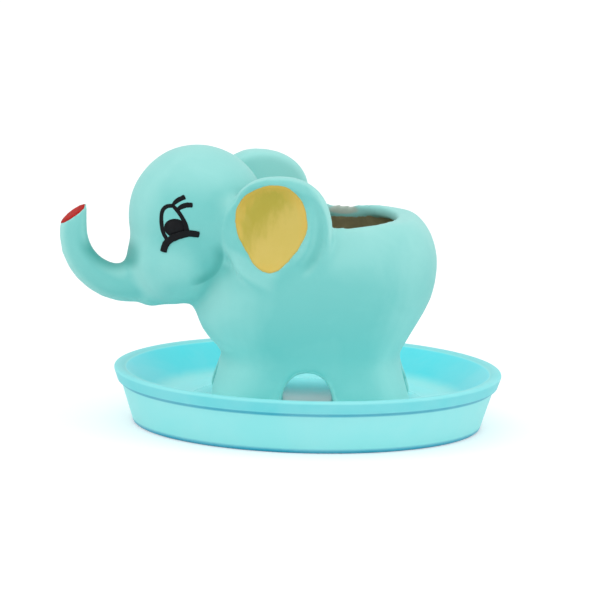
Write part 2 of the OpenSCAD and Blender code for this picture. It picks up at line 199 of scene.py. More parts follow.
class PotSettings(bpy.types.PropertyGroup):
    """Sizes and colours of the painted elephant"""
    skin: length("Skin size", "Size of the faces of the clay skin", 1.15 * MM)
    uneven: length("Unevenness", "How far the hand-finished skin wanders", 0.22 * MM)
    paint_depth: length("Painted depth", "How far the paint goes down inside the opening", 5 * MM)
    groove: length("Ear groove", "Depth of the hollow behind each ear's dish", 1.7 * MM)
    sink: length("Ear sink", "How far the front of each ear's rim runs into the head", 2.4 * MM)
    soften: IntProperty(
        name="Softening", description="Passes that round the casting's edges", min=0, default=5
    )
    # The pale paint is painted light on faces where light falls, and also shows in random patches and under
    # the belly; the deep paint is the tone of the shaded faces; the crease colour is painted shade
    paint_pale: colour("Pale paint", "Turquoise where the paint is chalky", (159, 226, 221))
    paint_deep: colour("Deep paint", "Turquoise where the paint is full", (120, 206, 202))
    paint_crease_shade: colour("Gathered paint", "Turquoise gathered in creases", (84, 178, 172))
    clay: colour("Bare clay", "Fired clay inside the pot", (190, 178, 138))
    clay_pale: colour("Worn clay", "Clay where the paint is thin", (212, 176, 154))


class PaintSettings(bpy.types.PropertyGroup):
    """Colours of the hand-painted details"""
    film: length("Paint height", "How far the painted details stand off the clay", 0.14 * MM)
    yellow: colour("Yellow", "Main colour of the ear dishes", (213, 191, 97))
    # Olive yellow towards the head: thinner paint, and painted shade
    yellow_thin_and_shaded: colour("Thin yellow", "Yellow where turquoise shows through", (181, 169, 58))
    yellow_thick: colour("Thick yellow", "Yellow at the ends of the brush strokes", (228, 182, 74))
    red: colour("Red", "Colour of the trunk's end", (192, 34, 25))
    black: colour("Black", "Colour of the eyes", (10, 13, 18))


class SaucerSettings(bpy.types.PropertyGroup):
    """Sizes and colours of the saucer"""
    steps: IntProperty(name="Steps", description="Faces round the saucer", min=24, default=240)
    uneven: length("Unevenness", "How far the thrown wall wanders", 0.12 * MM)
    paint: colour("Paint", "Pale cyan of the outer wall", (150, 240, 241))
    paint_inside: colour("Inside", "Cyan of the sloping inner wall", (72, 238, 250))
    paint_band: colour("Band", "Cyan of the raised band and the lip", (72, 210, 222))
    # Painted shade under the band and round the foot
    paint_groove_shade: colour("Pooled paint", "Paint gathered under the band and round the foot", (0, 166, 198))
    # Painted light: a paler floor that lifts the shade under the pot
    paint_floor: colour("Floor", "Pale cyan where the feet stand", (160, 251, 253))


class StageSettings(bpy.types.PropertyGroup):
    """Camera, floor and light"""
    elevation: angle("Camera height", "Angle above the table", 10.0)
    roll: angle("Camera roll", "Lean of the camera", 1.51)
    distance: length("Camera distance", "From the middle of the saucer's foot", 8)
    daylight: amount("Fill light", "Strength of the even light all round", 0.88)
    key: amount("Lamp power", "Power of the soft lamps, before their shares", 3.9, unit="POWER")


def in_scene(name, data):
    """A new object of the scene."""
    item = bpy.data.objects.new(name, data)
    bpy.context.scene.collection.objects.link(item)
    return item


def linked(name, bm):
    """A new object from a finished bmesh."""
    mesh = bpy.data.meshes.new(name)
    bm.to_mesh(mesh)
    bm.free()
    mesh.shade_smooth()
    return in_scene(name, mesh)


def finish_piece(piece, body, slot, material, *nodes):
    """Gives a piece its material and its body, and hides the CAD nodes that it replaces."""
    piece.data.materials.clear()
    piece.data.materials.append(material)
    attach(piece, body)
    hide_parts(*nodes)


def ease(value, low, high):
    """Rises smoothly from 0 at low to 1 at high, which may be the lesser."""
    t = min(1, max(0, (value - low) / (high - low)))
    return t * t * (3 - 2 * t)


def between(value, rise, fall):
    """1 between two slopes, each given by its foot and its top."""
    return ease(value, *rise) * ease(value, *fall)


def along(rows, share):
    """A smooth curve through rows of values, from share 0 to 1."""
    s = share * (len(rows) - 1)
    k = min(int(s), len(rows) - 2)
    u = s - k
    p, q, r, t = (rows[min(max(i, 0), len(rows) - 1)] for i in (k - 1, k, k + 1, k + 2))
    return [
        (2 * b + (c - a) * u + (2 * a - 5 * b + 4 * c - d) * u ** 2 + (3 * b - a - 3 * c + d) * u ** 3) / 2
        for a, b, c, d in zip(p, q, r, t)
    ]


class Bench:
    """Places and links the nodes of one material, world or node group."""

    columns = 8
    node_space = (220, 320)

    def __init__(self, tree):
        self.tree = tree
        self.count = 0

    def feed(self, socket, value):
        """Links a socket to another one, or sets its value."""
        if isinstance(value, bpy.types.NodeSocket):
            self.tree.links.new(value, socket)
        elif socket.type == "RGBA":
            socket.default_value = (*value, 1)
        else:
            socket.default_value = value

    def add(self, kind, inputs=None, **settings):
        node = self.tree.nodes.new(kind)
        row, column = divmod(self.count, self.columns)
        node.location = (column * self.node_space[0], -row * self.node_space[1])
        self.count += 1
        for key, value in settings.items():
            setattr(node, key, value)
        for key, value in (inputs or {}).items():
            self.feed(node.inputs[key], value)
        return node

    def attribute(self, name):
        return self.add("ShaderNodeAttribute", attribute_name=name).outputs["Fac"]

    def maths(self, operation, first, second=0.0, clamp=False):
        inputs = {0: first, 1: second}
        return self.add("ShaderNodeMath", inputs, operation=operation, use_clamp=clamp).outputs[0]

    def chain(self, operation, values):
        return reduce(lambda result, value: self.maths(operation, result, value), values)

    def plus(self, *values):
        return self.chain("ADD", values)

    def times(self, *values):
        return self.chain("MULTIPLY", values)

    def most(self, *values):
        return self.chain("MAXIMUM", values)

    def rest(self, value):
        """What a share leaves of 1."""
        return self.maths("SUBTRACT", 1.0, value)

    def about_zero(self, value, spread):
        """A value of 0 to 1 moved to lie about 0, and spread out."""
        return self.times(self.maths("SUBTRACT", value, 0.5), spread)

    def vector(self, operation, first, second=(0, 0, 0)):
        node = self.add("ShaderNodeVectorMath", {0: first, 1: second}, operation=operation)
        return node.outputs["Value" if operation in {"LENGTH", "DOT_PRODUCT"} else "Vector"]

    def split(self, vector):
        return self.add("ShaderNodeSeparateXYZ", {0: vector}).outputs

    def in_mm(self, place):
        return self.vector("MULTIPLY", place, (1 / MM,) * 3)

    def way(self, middle, place, stretch=(1, 0, 1)):
        """The way from a middle to a place, as seen from the side or with each axis stretched."""
        return self.vector("MULTIPLY", self.vector("SUBTRACT", place, middle), stretch)

    def reach(self, middle, place, stretch=(1, 0, 1)):
        return self.vector("LENGTH", self.way(middle, place, stretch))

    def off_line(self, way, direction):
        """How far a way goes along a direction, forwards or backwards."""
        return self.maths("ABSOLUTE", self.vector("DOT_PRODUCT", way, direction))

    def fade(self, value, start, full, strength=1.0, least=0.0):
        """Goes smoothly from its least at the start to its strength where it is full."""
        inputs = {"Value": value, "From Min": start, "From Max": full, "To Min": least, "To Max": strength}
        return self.add("ShaderNodeMapRange", inputs, interpolation_type="SMOOTHSTEP").outputs[0]

    def patches(self, follows, table):
        """A mask for each patch of a table, by name."""
        return SimpleNamespace(**{
            name: self.times(*(self.fade(follows[row[0]], *row[1:]) for row in rows))
            for name, rows in table.items()
        })

    def noise(self, vector, scale, detail=3.0, roughness=0.5, distortion=0.0):
        inputs = {
            "Vector": vector, "Scale": scale, "Detail": detail,
            "Roughness": roughness, "Distortion": distortion,
        }
        return self.add("ShaderNodeTexNoise", inputs).outputs["Fac"]

    def blend(self, factor, first, second):
        """The first colour, turning to the second as the factor goes to 1."""
        node = self.add("ShaderNodeMix", data_type="RGBA")
        sockets = {socket.identifier: socket for socket in node.inputs}
        for key, value in (("Factor_Float", factor), ("A_Color", first), ("B_Color", second)):
            self.feed(sockets[key], value)
        return next(socket for socket in node.outputs if socket.identifier == "Result_Color")


def brushed_clay_group():
    """Slow patches, fine grain and pinholes of brushed paint on clay."""
    name = "Brushed clay"
    if name in bpy.data.node_groups:
        return bpy.data.node_groups[name]
    tree = bpy.data.node_groups.new(name, "ShaderNodeTree")
    kinds = {"Vector": "Vector", "Patch Scale": "Float", "Grain Scale": "Float", "Pinholes": "Float"}
    for socket, kind in kinds.items():
        tree.interface.new_socket(socket, in_out="INPUT", socket_type="NodeSocket" + kind)
    for socket in ("Patches", "Height", "Roughness"):
        tree.interface.new_socket(socket, in_out="OUTPUT", socket_type="NodeSocketFloat")
    bench = Bench(tree)
    given = bench.add("NodeGroupInput").outputs
    made = bench.add("NodeGroupOutput").inputs
    place, patch_scale, grain_scale, pinholes = (given[socket] for socket in kinds)

    clouds = bench.noise(place, patch_scale, detail=4, roughness=0.55, distortion=0.4)
    patches = bench.fade(clouds, start=0.3, full=0.7)
    grain = bench.noise(place, grain_scale, detail=4, roughness=0.6)
    # The brush went level, so its strokes are longer than they are high
    stroke_shape = (1.0, 1.0, 3.2)
    strokes_to_patch = 5.0
    levelled = bench.vector("MULTIPLY", place, stroke_shape)
    strokes = bench.noise(levelled, bench.times(patch_scale, strokes_to_patch), detail=2)
    pits_to_grain = 0.28
    pit_scale = bench.times(grain_scale, pits_to_grain)
    cells = bench.add("ShaderNodeTexVoronoi", {"Vector": place, "Scale": pit_scale})
    pits = bench.times(bench.fade(cells.outputs["Distance"], start=0.14, full=0.05), pinholes)
    grain_height, stroke_height, pit_depth = 0.45, 0.55, 0.5
    height = bench.plus(bench.times(grain, grain_height), bench.times(strokes, stroke_height))
    patch_roughness = 0.4
    worn = bench.plus(grain, bench.times(patches, patch_roughness))
    bench.feed(made["Patches"], patches)
    bench.feed(made["Height"], bench.maths("SUBTRACT", height, bench.times(pits, pit_depth)))
    bench.feed(made["Roughness"], bench.fade(worn, start=0.3, full=1.1, strength=0.8, least=0.62))
    return tree


def new_material(name):
    """A material with its bench, and the place in the frame as a socket."""
    material = bpy.data.materials.new(name)
    material.use_nodes = True
    material.node_tree.nodes.clear()
    bench = Bench(material.node_tree)
    return material, bench, bench.add("ShaderNodeTexCoord").outputs["Object"]


def clay_effects(bench, place, patch, grain, pinholes):
    """The brushed clay's patches, height and roughness, from two scales and a share."""
    inputs = {"Vector": place, "Patch Scale": patch, "Grain Scale": grain, "Pinholes": pinholes}
    return bench.add("ShaderNodeGroup", inputs, node_tree=brushed_clay_group()).outputs


def surface(bench, tone, roughness, height, bump, depth, sheen=0.0, coat=0.0, specular=0.35):
    """Painted clay with a relief."""
    relief = {"Strength": bump, "Distance": depth, "Height": height}
    inputs = {
        "Base Color": tone,
        "Roughness": roughness,
        "Normal": bench.add("ShaderNodeBump", relief).outputs[0],
        "Specular IOR Level": specular,
        "Sheen Weight": sheen,
        "Sheen Roughness": 0.5,
        "Coat Weight": coat,
        "Coat Roughness": 0.45,
    }
    shader = bench.add("ShaderNodeBsdfPrincipled", inputs).outputs[0]
    bench.add("ShaderNodeOutputMaterial", {"Surface": shader})


def pot_follows(bench, place, ragged, tip, tip_normal):
    """What the pot's patches follow: places in millimetres, and where the clay faces."""
    spot = bench.in_mm(place)
    x, y, z = bench.split(spot)
    facing_x, facing_y, facing_z = bench.split(bench.add("ShaderNodeNewGeometry").outputs["Normal"])
    from_lobe = bench.way(LOBE, spot)
    from_jaw = bench.way(JAW, spot)
    from_tip = bench.vector("SUBTRACT", spot, tip / MM)
    return {
        "x": x,
        "z": z,
        "off_middle": bench.maths("ABSOLUTE", y),
        "facing_x": facing_x,
        "facing_z": facing_z,
        "facing_side": bench.maths("ABSOLUTE", facing_y),
        "facing_out": bench.times(facing_y, bench.maths("SIGN", y)),
        "from_cheek": bench.reach(CHEEK, spot),
        "from_bend": bench.reach(TRUNK_BEND, spot),
        "across_lobe": bench.off_line(from_lobe, ACROSS_LOBE),
        "along_lobe": bench.off_line(from_lobe, ALONG_LOBE),
        # Behind the jaw a painted shadow darkens the paint up to a crescent's edge
        "from_jaw": bench.vector("LENGTH", from_jaw),
        "behind_jaw": bench.vector("DOT_PRODUCT", bench.vector("NORMALIZE", from_jaw), JAW_REAR),
        "hollow": bench.attribute("hollow"),
        "speckled": bench.noise(place, scale=160, detail=5, roughness=0.7),
        "from_worn_rim": bench.plus(
            bench.reach(WORN_RIM, spot, WORN_RIM_SHAPE), bench.times(ragged, RAGGED_RIM)
        ),
        "off_cut": bench.off_line(from_tip, tip_normal),
        "from_tip": bench.vector("LENGTH", from_tip),
    }


def turquoise(bench, effects, on, settings):
    """Deep and pale turquoise, with painted highlights where light falls, painted shade in creases and
    under the body, paler in random patches and under the belly, worn through in places, from the pot's
    patches.
    """
    # Painted highlights on the ends, tops, ear backs, lobe, cheek, fronts and shoulder
    ends = bench.times(on.ends, bench.rest(on.rump))
    tops = bench.times(on.tops, bench.rest(on.ear_tops))
    paleness = bench.most(ends, tops, on.ear_backs, bench.times(on.lobe, LOBE_HIGHLIGHT))
    more = bench.plus(on.cheek, on.fronts, on.shoulder)
    paleness = bench.plus(paleness, bench.times(more, bench.rest(paleness)))
    paleness = bench.maths("ADD", paleness, bench.about_zero(effects["Patches"], PATCHY_CHALK), clamp=True)
    # Painted highlights on ridges are added, and painted shade on faces turned down takes paleness away
    ridges = bench.times(on.ridges, bench.plus(on.ear_rims, RIDGE_HIGHLIGHT))
    paleness = bench.maths("SUBTRACT", bench.plus(paleness, ridges), on.under, clamp=True)
    paint = bench.blend(bench.most(paleness, on.belly), settings.paint_deep, settings.paint_pale)
    # Painted shade in creases, in the trunk's bend and in the crescent behind the jaw
    creases = bench.times(on.creases, bench.rest(bench.most(on.ear_backs, on.lobe)))
    shaded = bench.most(creases, on.trunk_bend, on.crescent)
    paint = bench.blend(shaded, paint, settings.paint_crease_shade)
    for worn in (on.specks, on.worn_rim, on.worn_tip):
        paint = bench.blend(worn, paint, settings.clay_pale)
    return paint


def pot_paint(settings, tip, tip_normal):
    """Matte turquoise outside, bare clay inside, worn on the rim and the trunk's end."""
    material, bench, place = new_material("Turquoise clay")
    effects = clay_effects(bench, place, patch=42, grain=820, pinholes=0.6)
    ragged = bench.about_zero(bench.noise(place, scale=140, roughness=0.6), RAGGED_PAINT)
    on = bench.patches(pot_follows(bench, place, ragged, tip, tip_normal), POT_PATCHES)
    paint = turquoise(bench, effects, on, settings)
    clouds = bench.noise(place, scale=120, detail=5, roughness=0.65, distortion=0.6)
    clay_tone = bench.fade(clouds, start=0.3, full=0.75)
    clay = bench.blend(clay_tone, darkened(settings.clay, share=0.72), settings.clay)
    # The skin's own attribute gives the depth below the rim, in millimetres
    paint_end = settings.paint_depth / MM
    paint_fade = 0.35
    depth = bench.plus(bench.attribute("depth_inside"), ragged)
    bare = bench.fade(depth, paint_end - paint_fade, paint_end + paint_fade)
    tone = bench.blend(bare, paint, clay)
    surface(bench, tone, effects["Roughness"], effects["Height"], bump=0.16, depth=0.25 * MM, sheen=0.15)
    return material


def saucer_paint(settings):
    """Pale cyan, deeper on the inner wall, with a paler floor as painted light and painted shade under the
    band and round the foot.
    """
    patchy = 0.10
    paleness = (0.85, 0.97, 0.97)
    roughness = 0.38
    grain_roughness = 0.25
    floor_shine = -0.18
    material, bench, place = new_material("Cyan clay")
    effects = clay_effects(bench, place, patch=30, grain=700, pinholes=0.08)
    spot = bench.in_mm(place)
    height = bench.split(spot)["Z"]
    level = bench.vector("MULTIPLY", spot, (1, 1, 0))
    facing = bench.add("ShaderNodeNewGeometry").outputs["Normal"]
    follows = {
        "height": height,
        "ragged_height": bench.plus(height, bench.about_zero(bench.noise(place, scale=60), RAGGED_HEIGHT)),
        "radius": bench.vector("LENGTH", level),
        "outward": bench.vector("DOT_PRODUCT", facing, bench.vector("NORMALIZE", level)),
    }
    on = bench.patches(follows, SAUCER_PATCHES)
    # Painted light: a paler floor that lifts the shade under the pot
    tone = bench.blend(on.within, settings.paint, settings.paint_floor)
    tone = bench.blend(on.inner_wall, tone, settings.paint_inside)
    tone = bench.blend(bench.most(on.band, on.lip), tone, settings.paint_band)
    # Painted shade under the band and round the foot
    tone = bench.blend(bench.most(on.under_band, on.round_foot), tone, settings.paint_groove_shade)
    tone = bench.blend(bench.times(effects["Patches"], patchy), tone, paleness)
    rough = bench.plus(
        bench.times(effects["Roughness"], grain_roughness), bench.times(on.within, floor_shine), roughness
    )
    rough = bench.maths("SUBTRACT", rough, on.glazed)
    surface(bench, tone, rough, effects["Height"], bump=0.06, depth=0.2 * MM, coat=0.1)
    return material


def dish_yellow(settings, middle, name):
    """Brushed yellow, thinly painted and olive towards the head, where the olive is also painted shade,
    thick at the edge.
    """
    stroke_lean = math.radians(35)
    patchy = 0.15
    ochre = (0.80, 0.62, 0.22)
    material, bench, place = new_material(name)
    effects = clay_effects(bench, place, patch=60, grain=900, pinholes=0.4)
    brush = {"Vector": place, "Rotation": (0, stroke_lean, 0), "Scale": (1.0, 1.0, 0.28)}
    brushed = bench.add("ShaderNodeMapping", brush).outputs[0]
    strokes = bench.noise(brushed, scale=420, roughness=0.55, distortion=0.3)
    away = bench.vector("SUBTRACT", bench.in_mm(place), middle / MM)
    slant = bench.vector("DOT_PRODUCT", away, TOWARDS_HEAD)
    reach = bench.vector("LENGTH", bench.vector("MULTIPLY", away, DISH_SHAPE))
    follows = {
        "towards_head": bench.plus(slant, bench.about_zero(strokes, RAGGED_THIN)),
        "from_middle": bench.plus(reach, bench.about_zero(strokes, RAGGED_EDGE)),
    }
    on = bench.patches(follows, DISH_PATCHES)
    # Olive towards the head: thinner yellow, and painted shade
    thin = bench.times(on.thin, bench.rest(on.edge), DISH_THIN_AND_SHADED)
    tone = bench.blend(thin, settings.yellow, settings.yellow_thin_and_shaded)
    tone = bench.blend(on.edge, tone, settings.yellow_thick)
    tone = bench.blend(bench.fade(effects["Patches"], 0.4, 1.0, patchy), tone, ochre)
    height = bench.plus(effects["Height"], bench.times(strokes, 0.7))
    surface(bench, tone, effects["Roughness"], height, bump=0.2, depth=0.3 * MM)
    return material


def plain_paint(name, paint, share, scale, roughness):
    """One hand-brushed colour, with streaks that have only a share of its brightness."""
    material, bench, place = new_material(name)
    effects = clay_effects(bench, place, patch=90, grain=1100, pinholes=0.3)
    streaks = bench.noise(bench.vector("MULTIPLY", place, (1.0, 1.0, 2.5)), scale, roughness=0.6)
    tone = bench.blend(bench.fade(streaks, start=0.35, full=0.7), darkened(paint, share), paint)
    rougher, smoother = roughness + 0.08, roughness - 0.06
    rough = bench.fade(effects["Patches"], 0.0, 1.0, rougher, least=smoother)
    surface(bench, tone, rough, effects["Height"], bump=0.15, depth=0.2 * MM, specular=0.15)
    return material


def line(bm, places):
    """Vertices in a row with edges between them."""
    row = [bm.verts.new(place) for place in places]
    for a, b in zip(row, row[1:]):
        bm.edges.new((a, b))
    return row


def turn(bm, steps, join=JOIN):
    """Spins a row once round the upright axis and joins what meets there."""
    bmesh.ops.spin(
        bm, geom=bm.verts[:] + bm.edges[:], cent=(0, 0, 0), axis=(0, 0, 1),
        angle=math.tau, steps=steps, use_merge=True,
    )
    bmesh.ops.remove_doubles(bm, verts=bm.verts, dist=join)


class CLAY_OT_saucer(bpy.types.Operator):
    """Throws the saucer from its section"""
    bl_idname = "clay.saucer"
    bl_label = "Saucer"

    # Corners of the section in millimetres: radius, height, and how far back
    # each corner is rounded
    corners = (
        (0, 0, 0), (76.5, 0, 1.1), (82.4, 18.2, 0.3), (83.8, 18.2, 0.8), (86, 24.6, 1.6),
        (81, 24.6, 2.2), (64, 11.5, 3.4), (0, 11.5, 0),
    )
    rounding_steps = 7
    long_edge = 4 * MM
    long_edge_cuts = 5
    wall_radius = 70 * MM
    still_z, loose_z = 2 * MM, 9 * MM
    waves = 22  # to a metre

    def section(self, bm):
        row = line(bm, [(radius * MM, 0, height * MM) for radius, height, _ in self.corners])
        for corner, (_, _, rounding) in zip(row, self.corners):
            if rounding:
                bmesh.ops.bevel(
                    bm, geom=[corner], offset=rounding * MM, segments=self.rounding_steps,
                    profile=0.5, affect="VERTICES", material=-1,
                )
        long_edges = [e for e in bm.edges if e.calc_length() > self.long_edge]
        bmesh.ops.subdivide_edges(bm, edges=long_edges, cuts=self.long_edge_cuts)

    def wander(self, bm, uneven):
        """Moves the wall in and out a little, but not where the saucer stands."""
        for vert in bm.verts:
            radius = math.hypot(vert.co.x, vert.co.y)
            if radius > self.wall_radius and vert.co.z > self.still_z:
                hold = ease(vert.co.z, self.still_z, self.loose_z)
                push = noise.noise(vert.co * self.waves) * uneven * hold
                vert.co += Vector((vert.co.x, vert.co.y, 0)) / radius * push

    def execute(self, context):
        settings = context.scene.clay_saucer
        bm = bmesh.new()
        self.section(bm)
        turn(bm, settings.steps)
        bmesh.ops.recalc_face_normals(bm, faces=bm.faces)
        self.wander(bm, settings.uneven)
        finish_piece(linked("saucer_clay", bm), "saucer", "saucer_paint", saucer_paint(settings), "saucer")
        return {"FINISHED"}


def skinned(source, size):
    """A closed skin of even faces over a copy of a CAD node."""
    bm = bmesh.new()
    bm.from_mesh(source.data)
    bmesh.ops.remove_doubles(bm, verts=bm.verts, dist=JOIN)
    # Cells askew to the rim keep its steps short, so that smoothing clears them
    askew_angle = math.radians(37)
    askew_axis = Vector((1, 0.6, 0.3))
    askew = Matrix.Rotation(askew_angle, 4, askew_axis)
    bm.transform(askew)
    rough = linked("pot_rough", bm)
    skin = rough.modifiers.new("Skin", "REMESH")
    skin.mode = "VOXEL"
    skin.voxel_size = size
    context = bpy.context.evaluated_depsgraph_get()
    bm = bmesh.new()
    bm.from_object(rough, context)
    bm.transform(askew.inverted())
    old = rough.data
    bpy.data.objects.remove(rough)
    bpy.data.meshes.remove(old)
    return bm


def smooth(bm, verts, passes):
    for _ in range(passes):
        bmesh.ops.smooth_vert(
            bm, verts=verts, factor=0.5, use_axis_x=True, use_axis_y=True, use_axis_z=True
        )


def steps_from_creases(bm, limit, reach):
    """How many faces away each vertex lies from an inward crease."""
    steps = {}
    ring = []
    for vert in bm.verts:
        angles = [edge.calc_face_angle_signed(0) for edge in vert.link_edges]
        if sum(angles) / len(angles) < -limit:
            steps[vert] = 0
            ring.append(vert)
    for step in range(1, reach + 1):
        new = []
        for vert in ring:
            for edge in vert.link_edges:
                other = edge.other_vert(vert)
                if other not in steps:
                    steps[other] = step
                    new.append(other)
        ring = new
    return steps


class InnerWall:
    """Writes how far below the rim each vertex of the inner wall lies, in millimetres."""

    bins = 48  # round the mouth
    rim_lowest = 80 * MM
    rim_reach = (0.97, 1.05)  # shares of the mouth's half sizes
    drain_top = 32.5 * MM
    on_floor = Vector((20 * MM, 0, 33.7 * MM))
    # So far below the rim a vertex counts as inside, and further down the
    # wall may bulge past the mouth
    rim_round, bulge_from = 0.6 * MM, 4.5 * MM
    mouth_reach = 1.03

    def __init__(self, bm):
        self.verts = bm.verts
        self.layer = bm.verts.layers.float.new("depth_inside")
        self.rim = [0.0] * self.bins
        for vert in self.verts:
            vert[self.layer] = -1.0
            if vert.co.z > self.rim_lowest and self.rim_reach[0] < self.reach(vert.co) < self.rim_reach[1]:
                place = self.bearing(vert.co)
                self.rim[place] = max(self.rim[place], vert.co.z)
        # An ear may stand over the rim on one side only
        self.rim = [min(pair) for pair in zip(self.rim, reversed(self.rim))]

    def bearing(self, co):
        turns = math.atan2(co.y / MOUTH_HALF.y, (co.x - MOUTH.x) / MOUTH_HALF.x) / math.tau
        return int((turns + 1) * self.bins) % self.bins

    def reach(self, co):
        return math.hypot((co.x - MOUTH.x) / MOUTH_HALF.x, co.y / MOUTH_HALF.y)

    def below_rim(self, co):
        return self.rim[self.bearing(co)] - co.z

    def inside(self, co):
        below = self.below_rim(co)
        if co.z <= self.drain_top or below <= self.rim_round:
            return False
        return below > self.bulge_from or self.reach(co) < self.mouth_reach

    def mark(self):
        """Goes over the inner wall from its floor up."""
        start = min(self.verts, key=lambda v: (v.co - self.on_floor).length)
        seen = {start}
        queue = [start]
        while queue:
            vert = queue.pop()
            vert[self.layer] = max(0.0, self.below_rim(vert.co) / MM)
            for edge in vert.link_edges:
                other = edge.other_vert(vert)
                if other not in seen and self.inside(other.co):
                    seen.add(other)
                    queue.append(other)


class Ears:
    """Presses a hollow round the rear of each ear and sinks the front of its rim into the head."""

    # Slopes as shares of the ear's half sizes, and as angles from its rear
    hollow_reach = ((0.55, 0.76), (0.96, 0.78))
    hollow_bearing = ((-1.25, -0.6), (1.3, 0.7))
    sink_reach = ((0.62, 0.84), (1.05, 0.88))
    sink_off_front = (1.5, 0.8)
    depth_of_ear = 9 * MM
    least_facing = 0.3

    def press(self, bm, groove, sink):
        for plane in (EAR_PLANE, FAR_EAR_PLANE):
            to_row = HEAD_TURN @ plane
            to_plane = to_row.inverted()
            outward = to_row.to_3x3() @ Vector((0, 0, 1))
            for vert in bm.verts:
                flat = to_plane @ vert.co
                if abs(flat.z) <= self.depth_of_ear and vert.normal.dot(outward) >= self.least_facing:
                    vert.co -= outward * self.push(flat, groove, sink)

    def push(self, flat, groove, sink):
        reach = math.hypot(flat.x / EAR_HALF[0], flat.y / EAR_HALF[1])
        rear = math.atan2(flat.y, flat.x)
        hollow = between(reach, *self.hollow_reach) * between(rear, *self.hollow_bearing)
        front = between(reach, *self.sink_reach) * ease(math.pi - abs(rear), *self.sink_off_front)
        return groove * hollow + sink * front


def read(items, name, width, kind=float):
    """An attribute of mesh items, in rows of its width."""
    values = np.empty(len(items) * width, kind)
    items.foreach_get(name, values)
    return values.reshape(-1, width)


def mark_hollows(mesh, passes=26, blur=6):
    """Writes how deep each vertex lies below its smoothed surroundings, in millimetres."""
    count = len(mesh.vertices)
    start = read(mesh.vertices, "co", 3)
    normal = read(mesh.vertices, "normal", 3)
    pairs = read(mesh.edges, "vertices", 2, int)
    here, there = np.concatenate((pairs, pairs[:, ::-1])).T
    degree = np.maximum(np.bincount(here, minlength=count), 1)

    def spread(rows):
        return np.stack([np.bincount(here, row[there], count) / degree for row in rows.T], 1)

    places = start
    for _ in range(passes):
        places = spread(places)
    lift = ((places - start) * normal).sum(1, keepdims=True) / MM
    for _ in range(blur):
        lift = spread(lift)
    hollow = mesh.attributes.new("hollow", "FLOAT", "POINT")
    hollow.data.foreach_set("value", lift[:, 0].astype(np.float32))


class CLAY_OT_elephant(bpy.types.Operator):
    """Casts the hollow elephant with softened joins and an uneven skin"""
    bl_idname = "clay.elephant"
    bl_label = "Elephant pot"

    first_passes = 2
    crease_angle = 0.10
    # Every join: its width in faces, and passes
    joins = (2, 6)
    # Places where the casting runs together more: middle and reach in
    # millimetres, width in faces, and passes
    fillets = (
        ((-44, -6, 62), 26, 6, 20),
        ((-50, -6, 50), 13, 9, 40),
        ((-83, -9, 76), 13, 8, 30),
        ((-60, -20, 80), 26, 7, 26),
        ((-60, 14, 80), 26, 7, 26),
        ((-40, -38, 92), 18, 11, 55),
        ((-40, 38, 92), 18, 11, 55),
        ((-22, -34, 66), 22, 7, 20),
        ((-22, 34, 66), 22, 7, 20),
    )
    widest = 10
    # Above the feet: from here the edges are rounded, and between these
    # heights the skin starts to wander
    soft_from = FLOOR_Z + 0.4 * MM
    still_z, loose_z = FLOOR_Z + 1 * MM, FLOOR_Z + 8 * MM
    # Waves to a metre and share of each wave of the skin
    waves = ((38, 1), (95, 0.5))

    def soften(self, bm, passes):
        smooth(bm, bm.verts[:], self.first_passes)
        steps = steps_from_creases(bm, self.crease_angle, self.widest)
        join_width, join_passes = self.joins
        smooth(bm, [v for v, step in steps.items() if step <= join_width], join_passes)
        for middle, reach, width, fillet_passes in self.fillets:
            centre = Vector(middle) * MM
            near = [
                v for v, step in steps.items() if step <= width and (v.co - centre).length < reach * MM
            ]
            smooth(bm, near, fillet_passes)
        smooth(bm, [v for v in bm.verts if v.co.z > self.soft_from], passes)
        bm.normal_update()

    def wander(self, bm, uneven):
        for vert in bm.verts:
            hold = ease(vert.co.z, self.still_z, self.loose_z)
            wave = sum(share * noise.noise(vert.co * pitch) for pitch, share in self.waves)
            vert.co += vert.normal * wave * uneven * hold
            vert.co.z = max(vert.co.z, FLOOR_Z)

    def execute(self, context):
        settings = context.scene.clay_pot
        bm = skinned(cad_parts["pot"], settings.skin)
        self.soften(bm, settings.soften)
        Ears().press(bm, settings.groove, settings.sink)
        bm.normal_update()
        self.wander(bm, settings.uneven)
        InnerWall(bm).mark()
        piece = linked("elephant_clay", bm)
        mark_hollows(piece.data)
        finish_piece(piece, "pot", "pot_paint", pot_paint(settings, *trunk_end()), "pot")
        return {"FINISHED"}


def trunk_end():
    """Middle of the trunk's cut end and the direction it faces."""
    low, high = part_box("trunk_tip_paint")
    middle = (Vector(low) + Vector(high)) / 2
    faces = Vector((-math.sin(TRUNK_CUT), -math.cos(TRUNK_CUT) * math.tan(TRUNK_LEAN), math.cos(TRUNK_CUT)))
    return middle, (HEAD_TURN.to_3x3() @ faces).normalized()


class Clay:
    """Finds the surface of the finished elephant."""

    def __init__(self):
        depsgraph = bpy.context.evaluated_depsgraph_get()
        self.tree = BVHTree.FromObject(bpy.data.objects["elephant_clay"], depsgraph)

    def lay(self, bm, start, direction, film):
        """Drops each vertex onto the clay and gives the paint a body."""
        for vert in bm.verts:
            hit, normal, _, _ = self.tree.ray_cast(start(vert.co), direction)
            if hit is None:
                raise RuntimeError("a painted part misses the clay")
            vert.co = hit + normal * film
        bmesh.ops.recalc_face_normals(bm, faces=bm.faces)
        outward = sum((f.normal for f in bm.faces), Vector())
        if outward.dot(direction) > 0:
            bmesh.ops.reverse_faces(bm, faces=bm.faces)
        bmesh.ops.solidify(bm, geom=bm.faces[:], thickness=film * 2)
        bmesh.ops.recalc_face_normals(bm, faces=bm.faces)


def disc(rings, steps):
    """A flat disc of radius 1 made of rings."""
    bm = bmesh.new()
    line(bm, [(i / rings, 0, 0) for i in range(rings + 1)])
    turn(bm, steps, join=10 * JOIN)
    return bm


